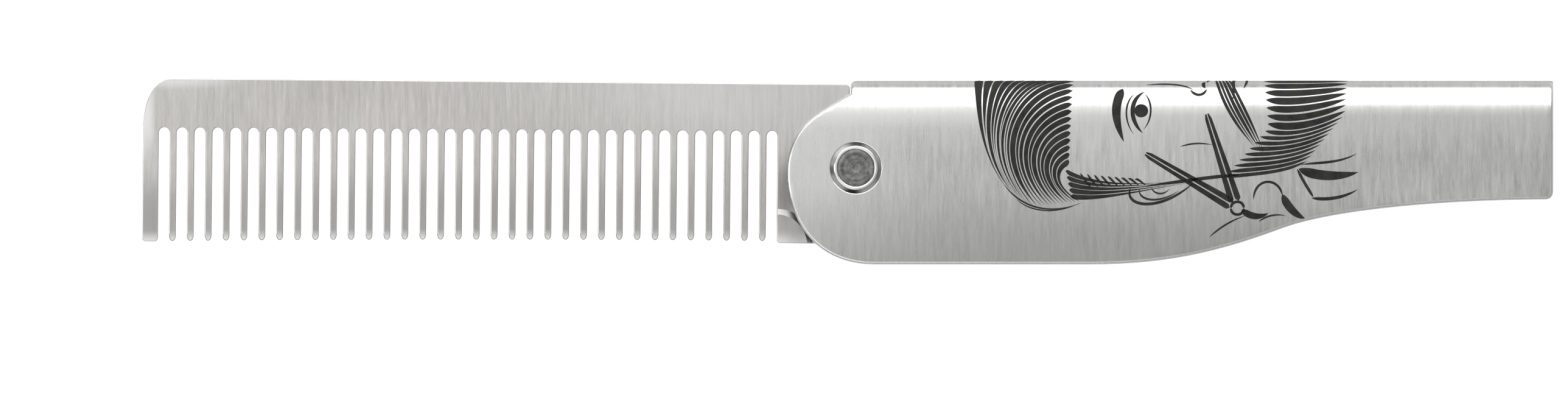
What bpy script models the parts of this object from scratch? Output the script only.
"""Folding beard comb, modelled open.

A stamped steel blade turns on one rivet inside a handle folded from a single steel sheet.
The comb lies on its rear cheek: +X runs from the pivot along the handle to its tail, +Y points
to the folded spine and +Z comes out of the front cheek.  The origin is on the pivot axis, at the
outer face of the rivet's rear head.  All lengths are in metres.
"""

import math

import bmesh
import bpy
from mathutils import Vector
from mathutils.geometry import interpolate_bezier

MM = 0.001

# Handle: one sheet folded to a U, with the fold along the spine.
HANDLE_THICKNESS = 4.8 * MM
SHEET = 0.8 * MM
FOLD_DEPTH = 4.2 * MM
SPINE_Y = 10.2 * MM
SPINE_FRONT_X = -0.62 * MM
SPINE_FRONT_ROUND = 0.7 * MM
NOSE_X = -8.05 * MM
NOSE_WIDEST_Y = -0.6 * MM
NOSE_SLANT = math.radians(31.5)
SPINE_FRONT_DROP = 1.5 * MM
BELLY_Y = -11.3 * MM
BELLY_START_X = 2.1 * MM
BELLY_END_X = 27.4 * MM
WAIST = Vector((50.0 * MM, -7.05 * MM))
WAIST_SLOPE = math.radians(20.6)
TAIL = Vector((81.7 * MM, -3.7 * MM))
TAIL_LOWER_ROUND = 0.85 * MM
TAIL_UPPER_ROUND = 0.3 * MM

# How far each curve of the handle's side view runs on before it bends, from its ends.
NOSE_TOP_PULL = 4.9 * MM
NOSE_UPPER_PULL = 5.4 * MM
NOSE_LOWER_PULL = 6.3 * MM
BELLY_PULL = 6.2 * MM
SWEEP_PULL = 8.5 * MM
WAIST_PULL = 6.4 * MM
TAIL_PULL = 11.0 * MM

# Comb blade, in its own frame: pivot at the origin, free end towards -X, teeth towards -Y.
BLADE_THICKNESS = 1.2 * MM
BLADE_END_X = -83.55 * MM
BACK_Y = 9.77 * MM
END_CORNER = Vector((3.2 * MM, 5.8 * MM))
END_CORNER_PULL = Vector((1.7 * MM, 3.5 * MM))
GUARD_WIDTH = 1.87 * MM
TOOTH_WIDTH = 0.81 * MM
SLOT_WIDTH = 1.284 * MM
SLOTS = 35
ROOT_Y_HEEL = 4.3 * MM
ROOT_Y_END = 4.05 * MM
TIP_Y_HEEL = -8.7 * MM
TIP_Y_END = -9.35 * MM
TIP_ARCH = 0.25 * MM
TIP_TAPER = 0.6 * MM
GUARD_ROUND = 0.45 * MM
TANG_BOTTOM_Y = -8.9 * MM
TANG_BOTTOM_END_X = -4.0 * MM
TANG_RADIUS = 7.5 * MM
HEEL_X = -0.8 * MM
HEEL_ROUND = 0.4 * MM
OPEN_TILT = math.radians(-0.5)
TANG_LEFT_X = BLADE_END_X + GUARD_WIDTH + SLOTS * SLOT_WIDTH + (SLOTS - 1) * TOOTH_WIDTH

# Shallow ground relief beside the nose, on both faces of the blade.
RELIEF_TOP_Y = 0.8 * MM
RELIEF_DEPTH = 0.22 * MM
RELIEF_WIDTH = 4.6 * MM
LOBE_RADIUS = 3.57 * MM
LOBE_DROP = 0.2 * MM
LOBE_SLOPE = 3.2

# Pivot: a rivet with a flat rear head, spun over at the front into a bright collar.
SHANK_RADIUS = 1.6 * MM
RUNNING_GAP = 0.05 * MM
REAR_HEAD_RADIUS = 2.8 * MM
REAR_HEAD_HEIGHT = 0.5 * MM
COLLAR_RADIUS = 2.6 * MM
COLLAR_RECESS_RADIUS = 2.22 * MM
COLLAR_HEIGHT = 0.55 * MM
COLLAR_FLOOR = 0.2 * MM
SPUN_HEAD_RADIUS = 2.16 * MM
SPUN_HEAD_HEIGHT = 0.25 * MM
DIMPLE_RADIUS = 0.6 * MM
DIMPLE_DEPTH = 0.08 * MM
SEAT_RADIUS = 3.0 * MM
SEAT_DEPTH = 0.25 * MM
SPACER_RADIUS = 4.0 * MM
EDGE_CHAMFER = 0.12 * MM
ROUND_STEPS = 48
TOOL_CLEARANCE = 1.0 * MM

# Heights of the stack on the pivot, worked out from the sizes above.
REAR_CHEEK_Z = REAR_HEAD_HEIGHT + RUNNING_GAP
MIDDLE_Z = REAR_CHEEK_Z + HANDLE_THICKNESS / 2
FRONT_CHEEK_Z = REAR_CHEEK_Z + HANDLE_THICKNESS
CHANNEL_WIDTH = HANDLE_THICKNESS - 2 * SHEET
SPACER_THICKNESS = (CHANNEL_WIDTH - BLADE_THICKNESS) / 2 - 2 * RUNNING_GAP
SEAT_Z = FRONT_CHEEK_Z - SEAT_DEPTH
COLLAR_Z = SEAT_Z + RUNNING_GAP
SPUN_HEAD_Z = COLLAR_Z + COLLAR_FLOOR + RUNNING_GAP
BORE_RADIUS = SHANK_RADIUS + RUNNING_GAP


def arc(centre, radius, start, end, steps):
    """Points along a circular arc; the angles are in degrees."""
    points = []
    for step in range(steps + 1):
        angle = math.radians(start + (end - start) * step / steps)
        points.append(Vector((centre[0] + radius * math.cos(angle), centre[1] + radius * math.sin(angle))))
    return points


def bezier(start, start_handle, end_handle, end, steps):
    """Points along a Bezier curve whose handles are given relative to its ends."""
    start, end = Vector(start), Vector(end)
    handles = start + Vector(start_handle), end + Vector(end_handle)
    return [Vector(p) for p in interpolate_bezier(start, handles[0], handles[1], end, steps + 1)]


def without_repeats(outline):
    """The outline with each point that falls on the one before it left out."""
    return [p for i, p in enumerate(outline) if (p - outline[i - 1]).length > 1e-6]


def steel(name, colour, roughness, metallic=1.0):
    """A plain Principled material for one sub-part."""
    material = bpy.data.materials.new(name)
    material.use_nodes = True
    shader = material.node_tree.nodes["Principled BSDF"]
    shader.inputs["Base Color"].default_value = (*colour, 1.0)
    shader.inputs["Roughness"].default_value = roughness
    shader.inputs["Metallic"].default_value = metallic
    return material


def add_object(name, bm, material=None):
    """Turn a bmesh into a named object with its faces pointing out."""
    bmesh.ops.recalc_face_normals(bm, faces=bm.faces)
    mesh = bpy.data.meshes.new(name)
    bm.to_mesh(mesh)
    bm.free()
    if material:
        mesh.materials.append(material)
    thing = bpy.data.objects.new(name, mesh)
    bpy.context.scene.collection.objects.link(thing)
    return thing


def plate(name, outline, low, high, material=None):
    """A flat piece: an outline in XY given a thickness from low to high in Z."""
    bm = bmesh.new()
    face = bm.faces.new([bm.verts.new((p[0], p[1], low)) for p in outline])
    grown = bmesh.ops.extrude_face_region(bm, geom=[face])
    moved = [item for item in grown["geom"] if isinstance(item, bmesh.types.BMVert)]
    bmesh.ops.translate(bm, verts=moved, vec=(0, 0, high - low))
    return add_object(name, bm, material)


def turned(name, profile, material=None):
    """A round piece: a profile of radius and height spun about Z."""
    bm = bmesh.new()
    ring = [bm.verts.new((radius, 0, height)) for radius, height in profile]
    edges = [bm.edges.new(pair) for pair in zip(ring, ring[1:])]
    if profile[0][0] > 0:
        edges.append(bm.edges.new((ring[-1], ring[0])))
    bmesh.ops.spin(
        bm, geom=ring + edges, cent=(0, 0, 0), axis=(0, 0, 1),
        angle=math.tau, steps=ROUND_STEPS, use_merge=True,
    )
    bmesh.ops.remove_doubles(bm, verts=bm.verts, dist=1e-6)
    thing = add_object(name, bm, material)
    thing.data.shade_smooth()
    thing.data.set_sharp_from_angle(angle=math.radians(30))
    return thing


def cylinder(name, radius, low, high):
    """A plain round cutter on the Z axis."""
    return turned(name, [(0, low), (radius, low), (radius, high), (0, high)])


def combine(target, tool, operation):
    """Apply a tool to a piece with an exact Boolean, and keep the tool out of the model."""
    modifier = target.modifiers.new(tool.name, "BOOLEAN")
    modifier.object = tool
    modifier.operation = operation
    modifier.solver = "EXACT"
    tool.hide_render = True
    tool.display_type = "WIRE"


def handle_outline():
    """The side view of the folded sheet, counter-clockwise from the front end of its spine."""
    slant = Vector((-math.cos(NOSE_SLANT), -math.sin(NOSE_SLANT)))
    nose_top = Vector((SPINE_FRONT_X, SPINE_Y - SPINE_FRONT_DROP))
    nose = Vector((NOSE_X, NOSE_WIDEST_Y))
    belly = Vector((BELLY_START_X, BELLY_Y))
    sweep = Vector((BELLY_END_X, BELLY_Y))
    slope = Vector((math.cos(WAIST_SLOPE), math.sin(WAIST_SLOPE)))
    front_round = (SPINE_FRONT_X + SPINE_FRONT_ROUND, SPINE_Y - SPINE_FRONT_ROUND)
    lower_round = (TAIL.x - TAIL_LOWER_ROUND, TAIL.y + TAIL_LOWER_ROUND)
    upper_round = (TAIL.x - TAIL_UPPER_ROUND, SPINE_Y - TAIL_UPPER_ROUND)
    sweep_end = Vector((lower_round[0], TAIL.y))
    outline = arc(front_round, SPINE_FRONT_ROUND, 90, 180, 6)
    outline += bezier(nose_top, slant * NOSE_TOP_PULL, (0, NOSE_UPPER_PULL), nose, 14)
    outline += bezier(nose, (0, -NOSE_LOWER_PULL), (-BELLY_PULL, 0), belly, 18)
    outline += bezier(sweep, (SWEEP_PULL, 0), -slope * SWEEP_PULL, WAIST, 14)
    outline += bezier(WAIST, slope * WAIST_PULL, (-TAIL_PULL, 0), sweep_end, 14)
    outline += arc(lower_round, TAIL_LOWER_ROUND, -90, 0, 5)
    outline += arc(upper_round, TAIL_UPPER_ROUND, 0, 90, 3)
    return without_repeats(outline)


def fold_curve(half_width, depth, steps):
    """Half an ellipse round the fold, as (y, z) points from the rear cheek to the front one."""
    start_y = SPINE_Y - FOLD_DEPTH
    return [(start_y + p.x * depth, p.y * half_width) for p in arc((0, 0), 1, -90, 90, steps)]


def make_handle(material):
    """The folded sheet: a U section run along X, trimmed to the side view and pierced for the pivot."""
    outer = HANDLE_THICKNESS / 2
    inner = outer - SHEET
    low_y = BELLY_Y - TOOL_CLEARANCE
    section = [(low_y, -outer)]
    section += fold_curve(outer, FOLD_DEPTH, 24)
    section += [(low_y, outer), (low_y, inner)]
    section += reversed(fold_curve(inner, FOLD_DEPTH - SHEET, 20))
    section += [(low_y, -inner)]
    bm = bmesh.new()
    start_x = NOSE_X - TOOL_CLEARANCE
    face = bm.faces.new([bm.verts.new((start_x, y, MIDDLE_Z + z)) for y, z in section])
    grown = bmesh.ops.extrude_face_region(bm, geom=[face])
    moved = [item for item in grown["geom"] if isinstance(item, bmesh.types.BMVert)]
    bmesh.ops.translate(bm, verts=moved, vec=(TAIL.x + TOOL_CLEARANCE - start_x, 0, 0))
    handle = add_object("handle_shell", bm, material)
    above = FRONT_CHEEK_Z + TOOL_CLEARANCE
    below = REAR_CHEEK_Z - TOOL_CLEARANCE
    combine(handle, plate("handle_trim_tool", handle_outline(), below, above), "INTERSECT")
    combine(handle, cylinder("handle_bore_tool", BORE_RADIUS, below, above), "DIFFERENCE")
    combine(handle, cylinder("collar_seat_tool", SEAT_RADIUS, SEAT_Z, above), "DIFFERENCE")
    return handle


def along_blade(heel_value, end_value, x):
    """A height that changes evenly from the heel of the blade to its free end."""
    return heel_value + (end_value - heel_value) * x / BLADE_END_X


def tip_y(x):
    """The line of the tooth tips, slightly arched between the two guards."""
    share = x / BLADE_END_X
    return along_blade(TIP_Y_HEEL, TIP_Y_END, x) + TIP_ARCH * 4 * share * (1 - share)


def slot_outline(left):
    """Up one side of a slot, round its root and down the other side."""
    radius = SLOT_WIDTH / 2
    centre_x = left + radius
    centre_y = along_blade(ROOT_Y_HEEL, ROOT_Y_END, centre_x) - radius
    return arc((centre_x, centre_y), radius, 180, 0, 8)


def tooth_tip_outline(left):
    """The rounded end of one tooth, from its left side to its right side."""
    half = TOOTH_WIDTH / 2
    end_y = tip_y(left + half)
    return [
        Vector((left + half + p.x, end_y + TIP_TAPER + p.y * TIP_TAPER / half))
        for p in arc((0, 0), half, 180, 360, 8)
    ]


def blade_outline():
    """The whole comb blade, counter-clockwise from the corner of its heel."""
    guard_right = BLADE_END_X + GUARD_WIDTH
    guard_y = tip_y(BLADE_END_X)
    heel_round = (HEEL_X - HEEL_ROUND, BACK_Y - HEEL_ROUND)
    outline = arc(heel_round, HEEL_ROUND, 0, 90, 4)
    corner_start = Vector((BLADE_END_X + END_CORNER.x, BACK_Y))
    corner_end = Vector((BLADE_END_X, BACK_Y - END_CORNER.y))
    outline += bezier(corner_start, (-END_CORNER_PULL.x, 0), (0, END_CORNER_PULL.y), corner_end, 14)
    outline += arc((BLADE_END_X + GUARD_ROUND, guard_y + GUARD_ROUND), GUARD_ROUND, 180, 270, 4)
    outline += arc((guard_right - GUARD_ROUND, guard_y + GUARD_ROUND), GUARD_ROUND, 270, 360, 4)
    left = guard_right
    for slot in range(SLOTS):
        outline += slot_outline(left)
        left += SLOT_WIDTH
        if slot < SLOTS - 1:
            outline += tooth_tip_outline(left)
            left += TOOTH_WIDTH
    outline += arc((left + GUARD_ROUND, TANG_BOTTOM_Y + GUARD_ROUND), GUARD_ROUND, 180, 270, 4)
    foot = Vector((TANG_BOTTOM_END_X, TANG_BOTTOM_Y))
    tangent = math.degrees(math.atan2(foot.y, foot.x) + math.acos(TANG_RADIUS / foot.length))
    heel_angle = math.degrees(math.acos(HEEL_X / TANG_RADIUS))
    outline.append(foot)
    outline += arc((0, 0), TANG_RADIUS, tangent, heel_angle, 28)
    return without_repeats(outline)


def relief_tool(side):
    """A wedge that thins the tang towards the teeth, on the front (+1) or the rear (-1) face."""
    face = BLADE_THICKNESS / 2
    left = TANG_LEFT_X - TOOL_CLEARANCE
    right = TANG_LEFT_X + RELIEF_WIDTH
    low_y = TANG_BOTTOM_Y - TOOL_CLEARANCE
    slope = RELIEF_DEPTH / (RELIEF_TOP_Y - TANG_BOTTOM_Y - LOBE_RADIUS)
    floor_z = face - slope * (RELIEF_TOP_Y - low_y)
    above = face + TOOL_CLEARANCE
    section = [(RELIEF_TOP_Y, face), (low_y, floor_z), (low_y, above), (RELIEF_TOP_Y, above)]
    bm = bmesh.new()
    end = bm.faces.new([bm.verts.new((left, y, side * z)) for y, z in section])
    grown = bmesh.ops.extrude_face_region(bm, geom=[end])
    moved = [item for item in grown["geom"] if isinstance(item, bmesh.types.BMVert)]
    bmesh.ops.translate(bm, verts=moved, vec=(right - left, 0, 0))
    return add_object("relief_tool_front" if side > 0 else "relief_tool_rear", bm)


def make_blade(material):
    """The comb blade, with its origin on the pivot axis at half its thickness."""
    half = BLADE_THICKNESS / 2
    blade = plate("comb_blade", blade_outline(), -half, half, material)
    blade.location = (0, 0, MIDDLE_Z)
    blade.rotation_euler = (0, 0, OPEN_TILT)
    reach = half + TOOL_CLEARANCE
    foot_radius = LOBE_RADIUS + RELIEF_DEPTH * LOBE_SLOPE
    top_radius = LOBE_RADIUS - TOOL_CLEARANCE * LOBE_SLOPE
    tools = []
    for side in (1, -1):
        wedge = relief_tool(side)
        name = "lobe_tool_front" if side > 0 else "lobe_tool_rear"
        foot_z = side * (half - RELIEF_DEPTH)
        profile = [(0, 0), (foot_radius, 0), (foot_radius, foot_z), (top_radius, side * reach), (0, side * reach)]
        lobe = turned(name, profile)
        lobe.location = (TANG_LEFT_X, TANG_BOTTOM_Y - LOBE_DROP, 0)
        combine(wedge, lobe, "DIFFERENCE")
        lobe.parent = blade
        tools.append(wedge)
    tools.append(cylinder("blade_bore_tool", BORE_RADIUS, -reach, reach))
    for tool in tools:
        tool.parent = blade
        combine(blade, tool, "DIFFERENCE")
    return blade


def make_rivet(material):
    """The solid rivet: flat rear head, shank through the stack and a spun-over front head."""
    top = SPUN_HEAD_Z + SPUN_HEAD_HEIGHT
    profile = [
        (0, 0),
        (REAR_HEAD_RADIUS - EDGE_CHAMFER, 0),
        (REAR_HEAD_RADIUS, EDGE_CHAMFER),
        (REAR_HEAD_RADIUS, REAR_HEAD_HEIGHT),
        (SHANK_RADIUS, REAR_HEAD_HEIGHT),
        (SHANK_RADIUS, SPUN_HEAD_Z),
        (SPUN_HEAD_RADIUS, SPUN_HEAD_Z),
        (SPUN_HEAD_RADIUS, top - EDGE_CHAMFER / 2),
        (SPUN_HEAD_RADIUS - EDGE_CHAMFER / 2, top),
        (DIMPLE_RADIUS, top),
        (0, top - DIMPLE_DEPTH),
    ]
    return turned("pivot_rivet", profile, material)


def make_collar(material):
    """The bright dished ring that the front head of the rivet is spun into."""
    top = COLLAR_Z + COLLAR_HEIGHT
    floor = COLLAR_Z + COLLAR_FLOOR
    profile = [
        (BORE_RADIUS, COLLAR_Z),
        (COLLAR_RADIUS, COLLAR_Z),
        (COLLAR_RADIUS, top - EDGE_CHAMFER),
        (COLLAR_RADIUS - EDGE_CHAMFER, top),
        (COLLAR_RECESS_RADIUS, top),
        (COLLAR_RECESS_RADIUS, floor),
        (BORE_RADIUS, floor),
    ]
    return turned("front_rivet_collar", profile, material)


def make_spacer(name, centre_z, material):
    """One flat spacer washer between the blade and a cheek."""
    half = SPACER_THICKNESS / 2
    spacer = turned(
        name,
        [(BORE_RADIUS, -half), (SPACER_RADIUS, -half), (SPACER_RADIUS, half), (BORE_RADIUS, half)],
        material,
    )
    spacer.location = (0, 0, centre_z)
    return spacer


def build():
    """Clear the scene and make every sub-part of the comb."""
    for old in list(bpy.data.objects):
        bpy.data.objects.remove(old, do_unlink=True)
    make_handle(steel("handle_steel", (0.55, 0.545, 0.54), 0.34))
    make_blade(steel("blade_steel", (0.57, 0.55, 0.53), 0.38))
    make_rivet(steel("rivet_steel", (0.20, 0.20, 0.195), 0.48))
    make_collar(steel("collar_steel", (0.86, 0.86, 0.85), 0.12))
    offset = BLADE_THICKNESS / 2 + RUNNING_GAP + SPACER_THICKNESS / 2
    make_spacer("front_spacer_washer", MIDDLE_Z + offset, steel("front_brass", (0.72, 0.53, 0.26), 0.35))
    make_spacer("rear_spacer_washer", MIDDLE_Z - offset, steel("rear_brass", (0.72, 0.53, 0.26), 0.35))


build()
